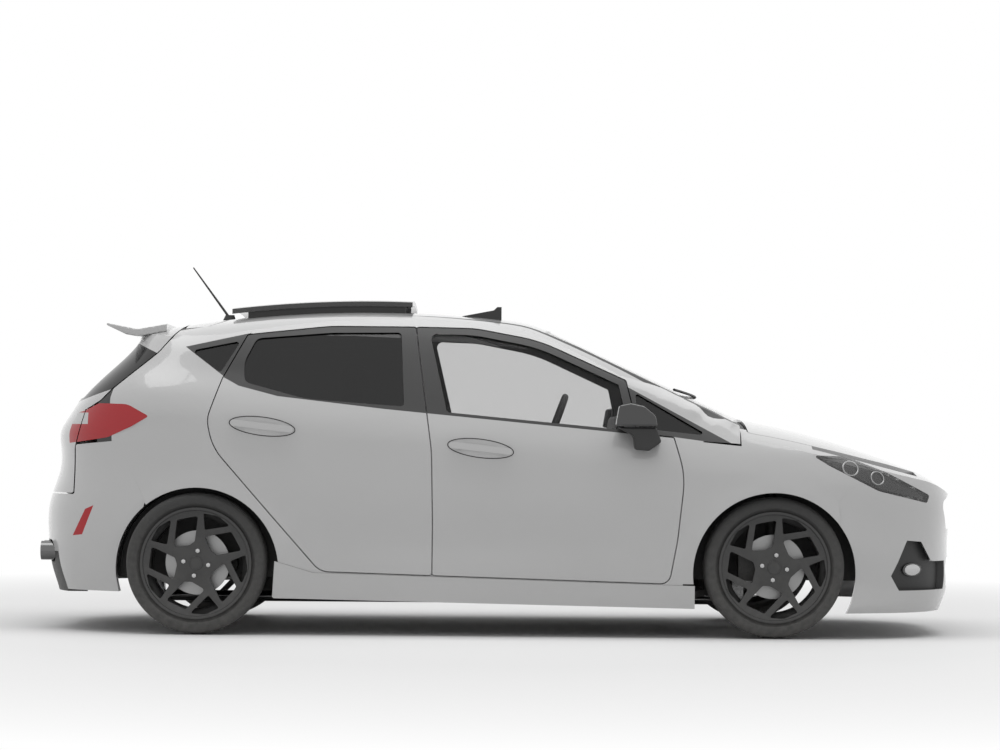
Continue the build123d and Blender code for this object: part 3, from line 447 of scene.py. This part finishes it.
def makeNuts():
    bpy.ops.object.select_all(action="DESELECT")
    bpy.ops.mesh.primitive_cylinder_add(vertices=nutSet["sides"], radius=nutSet["radius"],
                                        depth=nutSet["length"], rotation=(math.pi / 2, 0, 0))
    first = bpy.context.object
    bpy.ops.object.transform_apply(rotation=True)
    bpy.ops.object.mode_set(mode="EDIT")
    bpy.ops.mesh.select_all(action="SELECT")
    bpy.ops.mesh.bevel(offset=nutSet["bevel"], segments=2)
    bpy.ops.object.mode_set(mode="OBJECT")
    nuts = []
    depth = nutSet["face"] - nutSet["length"] / 3
    for k in range(nutSet["count"]):
        turn = math.radians(nutSet["start"] + 360.0 / nutSet["count"] * k)
        spot = (nutSet["ring"] * math.cos(turn), depth, nutSet["ring"] * math.sin(turn))
        nut = bpy.data.objects.new("nut", first.data.copy())
        bpy.context.collection.objects.link(nut)
        nuts.append(placeAt(nut, Matrix.Translation(spot)))
    bpy.data.objects.remove(first)
    return joinAll(nuts, "nutModel")


def copyPiece(model, name, matrix):
    obj = bpy.data.objects.new(name, model.data.copy())
    bpy.context.collection.objects.link(obj)
    placeAt(obj, matrix)
    if matrix.determinant() < 0:
        activate(obj)
        bpy.ops.object.mode_set(mode="EDIT")
        bpy.ops.mesh.select_all(action="SELECT")
        bpy.ops.mesh.flip_normals()
        bpy.ops.object.mode_set(mode="OBJECT")
    return obj


tyreModel = makeTyre()
nutModel = makeNuts()
capModel = spinProfile("capModel", capSet["profile"], capSet["steps"])
for corner in ("front_right", "front_left", "rear_right", "rear_left"):
    low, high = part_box("tyre_" + corner)
    middle = (low + high) / 2
    body = corner + "_wheel"
    facing = Matrix.Translation(middle)
    if middle.y > 0:
        facing = facing @ Matrix.Scale(-1, 4, (0, 1, 0))
    tread = copyPiece(tyreModel, "tyre.tread." + corner, facing)
    finishPiece(tread, tyreRubber, body, ["tyre_" + corner], 40.0)
    finishPiece(copyPiece(nutModel, "wheel.nuts." + corner, facing), nutSteel, body)
    finishPiece(copyPiece(capModel, "wheel.cap." + corner, facing), wheelDark, body)
    rim = copyNode("rim_" + corner, "rim.cast." + corner)
    applyModifier(rim, "BEVEL", width=rimSet["bevel"], segments=rimSet["segments"], limit_method="ANGLE",
                  angle_limit=math.radians(rimSet["sharp"]))
    finishPiece(rim, wheelDark, body, ["rim_" + corner])
for model in (tyreModel, nutModel, capModel):
    bpy.data.objects.remove(model)
print("wheels dressed")

# how far out from the middle, or up, a ray starts that looks for a node's surface
outside = 1.3
overhead = 2.0

# lamps: a dark core behind each clear lens, with bright projector rings of (x, z, radius)
lampSet = {"depth": 0.016, "rings": [(1.520, 0.742, 0.034), (1.640, 0.700, 0.030)], "wire": 0.0035,
           "seat": 0.010, "segments": (40, 10)}
lampCore = copyNode("headlamps", "headlamp.cores")
bpy.ops.object.mode_set(mode="EDIT")
bpy.ops.mesh.select_all(action="SELECT")
bpy.ops.transform.shrink_fatten(value=-lampSet["depth"])
bpy.ops.object.mode_set(mode="OBJECT")
finishPiece(lampCore, lampInside, "body_shell")
bpy.context.view_layer.update()
rings = []
for side in (-1, 1):
    for x, z, radius in lampSet["rings"]:
        hit, spot, normal, index = nodes["headlamps"].ray_cast((x, side * outside, z), (0, -side, 0))
        if not hit:
            continue
        bpy.ops.object.select_all(action="DESELECT")
        bpy.ops.mesh.primitive_torus_add(major_radius=radius, minor_radius=lampSet["wire"],
                                         major_segments=lampSet["segments"][0],
                                         minor_segments=lampSet["segments"][1])
        ring = bpy.context.object
        turn = normal.to_track_quat("Z", "Y").to_matrix().to_4x4()
        rings.append(placeAt(ring, Matrix.Translation(spot - normal * lampSet["seat"]) @ turn))
finishPiece(joinAll(rings, "headlamp.rings"), nutSteel, "body_shell")

# fog lamps: a bright lens in a dark ring on the floor of each recess
fogSet = {"spot": (1.797, 0.298), "half": (0.046, 0.025), "depth": 0.012, "ringDepth": 0.0084,
          "round": 0.0035, "ring": 1.22, "proud": 0.4, "sides": 40}


def makeFogDisc(name, side, grow, depth):
    start = (fogSet["spot"][0], side * outside, fogSet["spot"][1])
    hit, spot, normal, index = nodes["front_bumper"].ray_cast(start, (0, -side, 0))
    bpy.ops.object.select_all(action="DESELECT")
    bpy.ops.mesh.primitive_cylinder_add(vertices=fogSet["sides"], radius=1.0, depth=depth)
    disc = bpy.context.object
    disc.name = name
    placeAt(disc, Matrix.Diagonal((fogSet["half"][1] * grow, fogSet["half"][0] * grow, 1.0, 1.0)))
    bpy.ops.object.mode_set(mode="EDIT")
    bpy.ops.mesh.select_all(action="SELECT")
    bpy.ops.mesh.bevel(offset=fogSet["round"], segments=3)
    bpy.ops.object.mode_set(mode="OBJECT")
    along = Vector((-normal.y, normal.x, 0.0)).normalized()
    turn = Matrix((normal.cross(along) * -1, along, normal)).transposed().to_4x4()
    return placeAt(disc, Matrix.Translation(spot + normal * depth * fogSet["proud"]) @ turn)


for side, hand in ((-1, "right"), (1, "left")):
    bezel = makeFogDisc("fog.ring." + hand, side, fogSet["ring"], fogSet["ringDepth"])
    finishPiece(bezel, blackGloss, "body_shell")
    finishPiece(makeFogDisc("fog.lens." + hand, side, 1.0, fogSet["depth"]), fogGlass, "body_shell")
print("lamps dressed")


# outline in the side view drawn out from y0 to y1, rounded over by a remesh and some smoothing
def makeRounded(name, outline, y0, y1, voxel, rounds):
    count = len(outline)
    points = [(x, y0, z) for x, z in outline] + [(x, y1, z) for x, z in outline]
    faces = [tuple(range(count)), tuple(range(2 * count - 1, count - 1, -1))]
    faces = faces + [(i, i + count, (i + 1) % count + count, (i + 1) % count) for i in range(count)]
    obj = newPiece(name, points, (), faces)
    bpy.ops.object.mode_set(mode="EDIT")
    bpy.ops.mesh.select_all(action="SELECT")
    bpy.ops.mesh.normals_make_consistent(inside=False)
    bpy.ops.object.mode_set(mode="OBJECT")
    applyModifier(obj, "REMESH", mode="VOXEL", voxel_size=voxel)
    applyModifier(obj, "SMOOTH", factor=0.5, iterations=rounds)
    return obj


# mirrors: gloss cap over a satin foot
mirrorSet = {"cap": [(0.497, 0.912), (0.512, 1.000), (0.560, 1.010), (0.618, 0.998), (0.668, 0.955),
                     (0.676, 0.912)],
             "foot": [(0.502, 0.908), (0.672, 0.908), (0.694, 0.845), (0.640, 0.806), (0.580, 0.812),
                      (0.574, 0.872)],
             "voxel": 0.005, "rounds": 10, "capOut": 0.004, "capStart": 0.35, "footIn": 0.02, "sharp": 60.0}
for hand in ("right", "left"):
    low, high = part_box("mirror_" + hand)
    outer = max(abs(low.y), abs(high.y))
    inner = min(abs(low.y), abs(high.y))
    sign = -1 if low.y < 0 else 1
    body = "front_" + hand + "_door"
    capInner = inner + mirrorSet["capStart"] * (outer - inner)
    cap = makeRounded("mirror.cap." + hand, mirrorSet["cap"], sign * capInner,
                      sign * (outer + mirrorSet["capOut"]), mirrorSet["voxel"], mirrorSet["rounds"])
    finishPiece(cap, blackGloss, body, ["mirror_" + hand], mirrorSet["sharp"])
    foot = makeRounded("mirror.foot." + hand, mirrorSet["foot"], sign * inner,
                       sign * (outer - mirrorSet["footIn"]), mirrorSet["voxel"], mirrorSet["rounds"])
    finishPiece(foot, darkTrim, body, (), mirrorSet["sharp"])

# roof spoiler: a thin blade that kicks up at its tip
spoilerSet = {"outline": [(-1.470, 1.350), (-1.600, 1.326), (-1.735, 1.352), (-1.738, 1.343), (-1.650, 1.302),
                          (-1.600, 1.294), (-1.470, 1.316)], "voxel": 0.005, "rounds": 3}
low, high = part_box("roof_spoiler")
blade = makeRounded("roof.blade", spoilerSet["outline"], low.y, high.y, spoilerSet["voxel"],
                    spoilerSet["rounds"])
finishPiece(blade, bodyPaint, "tailgate", ["roof_spoiler"], 45.0)
print("mirrors and spoiler shaped")


# a thin closed line laid on a node, seen from the side
def layLoop(name, nodeName, spots, side, wire):
    data = bpy.data.curves.new(name, "CURVE")
    data.dimensions = "3D"
    data.bevel_depth = wire
    data.bevel_resolution = 1
    spline = data.splines.new("POLY")
    placed = []
    for x, z in spots:
        hit, spot, normal, index = nodes[nodeName].ray_cast((x, side * outside, z), (0, -side, 0))
        if hit:
            placed.append(spot)
    spline.points.add(len(placed) - 1)
    for point, spot in zip(spline.points, placed):
        point.co = (spot.x, spot.y, spot.z, 1.0)
    spline.use_cyclic_u = True
    line = bpy.data.objects.new(name, data)
    bpy.context.collection.objects.link(line)
    activate(line)
    bpy.ops.object.convert(target="MESH")
    return bpy.context.object


# handle cups: painted shade, a thin dark loop laid on each door where the edge of the scoop behind the handle
# falls into shade
cupShadeSet = {"front": (-0.081, 0.812), "rear": (-1.022, 0.900), "half": (0.142, 0.040), "lean": -0.11,
          "wire": 0.0022, "count": 48}
bpy.context.view_layer.update()
for end in ("front", "rear"):
    middleX, middleZ = cupShadeSet[end]
    spots = []
    for k in range(cupShadeSet["count"]):
        turn = 2 * math.pi * k / cupShadeSet["count"]
        across = cupShadeSet["half"][0] * math.cos(turn)
        rise = cupShadeSet["lean"] * across + cupShadeSet["half"][1] * math.sin(turn)
        spots.append((middleX + across, middleZ + rise))
    for side, hand in ((-1, "right"), (1, "left")):
        door = "door_" + end + "_" + hand
        # painted shade: a dark trim loop on the body-colour door around the handle scoop
        cupShade = layLoop("handle.cup." + end + "." + hand, door, spots, side, cupShadeSet["wire"])
        finishPiece(cupShade, darkTrim, end + "_" + hand + "_door", (), 50.0)
print("handle cups drawn")

# seats: stuffed covers, puffed up by a short cloth run
seatSet = {"voxel": 0.012, "quality": 4, "mass": 0.3, "stiffness": 20.0, "pressure": 4.0, "frames": 16,
           "most": 0.022, "before": 6, "after": 3, "sharp": 60.0}


def puffUp(obj):
    start = [vertex.co.copy() for vertex in obj.data.vertices]
    activate(obj)
    cloth = obj.modifiers.new("stuffing", "CLOTH")
    cloth.settings.quality = seatSet["quality"]
    cloth.settings.mass = seatSet["mass"]
    cloth.settings.tension_stiffness = seatSet["stiffness"]
    cloth.settings.compression_stiffness = seatSet["stiffness"]
    cloth.settings.use_pressure = True
    cloth.settings.uniform_pressure_force = seatSet["pressure"]
    cloth.settings.effector_weights.gravity = 0.0
    cloth.point_cache.frame_end = seatSet["frames"]
    for step in range(1, seatSet["frames"] + 1):
        bpy.context.scene.frame_set(step)
    bpy.ops.object.modifier_apply(modifier=cloth.name)
    bpy.context.scene.frame_set(1)
    for vertex, old in zip(obj.data.vertices, start):
        move = vertex.co - old
        if move.length > seatSet["most"]:
            vertex.co = old + move.normalized() * seatSet["most"]


def makeSeat(nodeName, pieceName):
    seat = copyNode(nodeName, pieceName)
    applyModifier(seat, "REMESH", mode="VOXEL", voxel_size=seatSet["voxel"])
    applyModifier(seat, "SMOOTH", factor=0.5, iterations=seatSet["before"])
    puffUp(seat)
    applyModifier(seat, "SMOOTH", factor=0.5, iterations=seatSet["after"])
    finishPiece(seat, seatCloth, "body_shell", [nodeName], seatSet["sharp"])


makeSeat("front_seats", "seat.covers.front")
makeSeat("rear_bench", "seat.covers.rear")
print("seats stuffed")

# wipers parked along the foot of the screen
wiperSet = {"tube": 0.006, "lift": 0.011, "count": 9, "foot": 0.885, "bow": 0.35,
            "blades": [(-0.600, -0.080), (0.020, 0.520)]}


def makeWiper(name, ends):
    data = bpy.data.curves.new(name, "CURVE")
    data.dimensions = "3D"
    data.bevel_depth = wiperSet["tube"]
    data.bevel_resolution = 2
    data.use_fill_caps = True
    spline = data.splines.new("POLY")
    spots = []
    for k in range(wiperSet["count"]):
        y = ends[0] + (ends[1] - ends[0]) * k / (wiperSet["count"] - 1)
        x = wiperSet["foot"] - wiperSet["bow"] * y * y
        hit, spot, normal, index = nodes["windscreen"].ray_cast((x, y, overhead), (0, 0, -1))
        if hit:
            spots.append(spot + normal * wiperSet["lift"])
    spline.points.add(len(spots) - 1)
    for point, spot in zip(spline.points, spots):
        point.co = (spot.x, spot.y, spot.z, 1.0)
    wiper = bpy.data.objects.new(name, data)
    bpy.context.collection.objects.link(wiper)
    activate(wiper)
    bpy.ops.object.convert(target="MESH")
    return bpy.context.object


bpy.context.view_layer.update()
wipers = [makeWiper("wiper" + str(k), ends) for k, ends in enumerate(wiperSet["blades"])]
finishPiece(joinAll(wipers, "wipers"), darkTrim, "body_shell", (), 50.0)
print("wipers laid")

# floor, world and light; the floor fades to the white background away from the car
studio = {"floorSize": 60.0, "floorLevel": 0.95, "floorRough": 0.7, "fadeStart": 2.6, "fadeEnd": 6.0,
          "world": 0.5, "topPower": 260.0, "topSize": (9.0, 4.0), "topPlace": (0, -1.0, 6.5),
          "topTarget": (0, 0, 0.6)}
white = (1.0, 1.0, 1.0, 1.0)


# what the camera sees directly, in a reflection or through glass
def seenDirectly(tree):
    path = addNode(tree, "ShaderNodeLightPath")
    near = mathNode(tree, "MAXIMUM", path.outputs["Is Camera Ray"], path.outputs["Is Glossy Ray"])
    return mathNode(tree, "MAXIMUM", near, path.outputs["Is Transmission Ray"])


def makeFloor():
    bpy.ops.object.select_all(action="DESELECT")
    bpy.ops.mesh.primitive_plane_add(size=studio["floorSize"], location=(0, 0, 0))
    floor = bpy.context.object
    floor.name = "studioFloor"
    mat = bpy.data.materials.new("studioFloor")
    mat.use_nodes = True
    tree = mat.node_tree
    shader = tree.nodes["Principled BSDF"]
    shader.inputs["Roughness"].default_value = studio["floorRough"]
    shader.inputs["Base Color"].default_value = grey(studio["floorLevel"])
    place = addNode(tree, "ShaderNodeTexCoord").outputs["Object"]
    away = addNode(tree, "ShaderNodeVectorMath", [(0, place)], operation="LENGTH").outputs["Value"]
    fade = addNode(tree, "ShaderNodeMapRange",
                   [("Value", away), ("From Min", studio["fadeStart"]),
                    ("From Max", studio["fadeEnd"])]).outputs["Result"]
    shown = mathNode(tree, "MULTIPLY", fade, seenDirectly(tree))
    glow = addNode(tree, "ShaderNodeEmission", [("Color", white), ("Strength", 1.0)])
    blend = addNode(tree, "ShaderNodeMixShader", [(0, shown), (1, shader.outputs[0]), (2, glow.outputs[0])])
    tree.links.new(blend.outputs[0], tree.nodes["Material Output"].inputs["Surface"])
    floor.data.materials.append(mat)


def makeWorld():
    world = bpy.data.worlds.new("studio")
    world.use_nodes = True
    bpy.context.scene.world = world
    tree = world.node_tree
    sky = tree.nodes["Background"]
    sky.inputs["Color"].default_value = white
    sky.inputs["Strength"].default_value = studio["world"]
    seen = addNode(tree, "ShaderNodeBackground", [("Color", white), ("Strength", 1.0)])
    blend = addNode(tree, "ShaderNodeMixShader",
                    [(0, seenDirectly(tree)), (1, sky.outputs[0]), (2, seen.outputs[0])])
    tree.links.new(blend.outputs[0], tree.nodes["World Output"].inputs["Surface"])


def addArea(name, power, size, place, target):
    data = bpy.data.lights.new(name, "AREA")
    data.energy = power
    data.shape = "RECTANGLE"
    data.size = size[0]
    data.size_y = size[1]
    lamp = bpy.data.objects.new(name, data)
    bpy.context.collection.objects.link(lamp)
    lamp.location = place
    lamp.rotation_euler = (Vector(target) - Vector(place)).to_track_quat("-Z", "Y").to_euler()


makeFloor()
makeWorld()
addArea("topSoftbox", studio["topPower"], studio["topSize"], studio["topPlace"], studio["topTarget"])

# the photograph's view: a long lens level with the door handles, tipped up and rolled a little
viewSet = {"distance": 14.86, "height": 0.85, "lens": 117.1, "sensor": 36.0, "clipEnd": 100.0, "tip": 1.14,
           "roll": 0.445}


def makeCamera():
    data = bpy.data.cameras.new("photoView")
    data.lens = viewSet["lens"]
    data.sensor_width = viewSet["sensor"]
    data.clip_end = viewSet["clipEnd"]
    camera = bpy.data.objects.new("photoView", data)
    bpy.context.collection.objects.link(camera)
    tip = math.radians(viewSet["tip"])
    roll = math.radians(viewSet["roll"])
    ahead = Vector((0, math.cos(tip), math.sin(tip)))
    right = Vector((1, 0, 0))
    up = right.cross(ahead)
    tiltedRight = right * math.cos(roll) + up * math.sin(roll)
    tiltedUp = up * math.cos(roll) - right * math.sin(roll)
    turn = Matrix((tiltedRight, tiltedUp, -ahead)).transposed().to_4x4()
    camera.matrix_world = Matrix.Translation((0, -viewSet["distance"], viewSet["height"])) @ turn
    bpy.context.scene.camera = camera


makeCamera()
bpy.context.scene.view_settings.view_transform = "Standard"
print("studio ready")
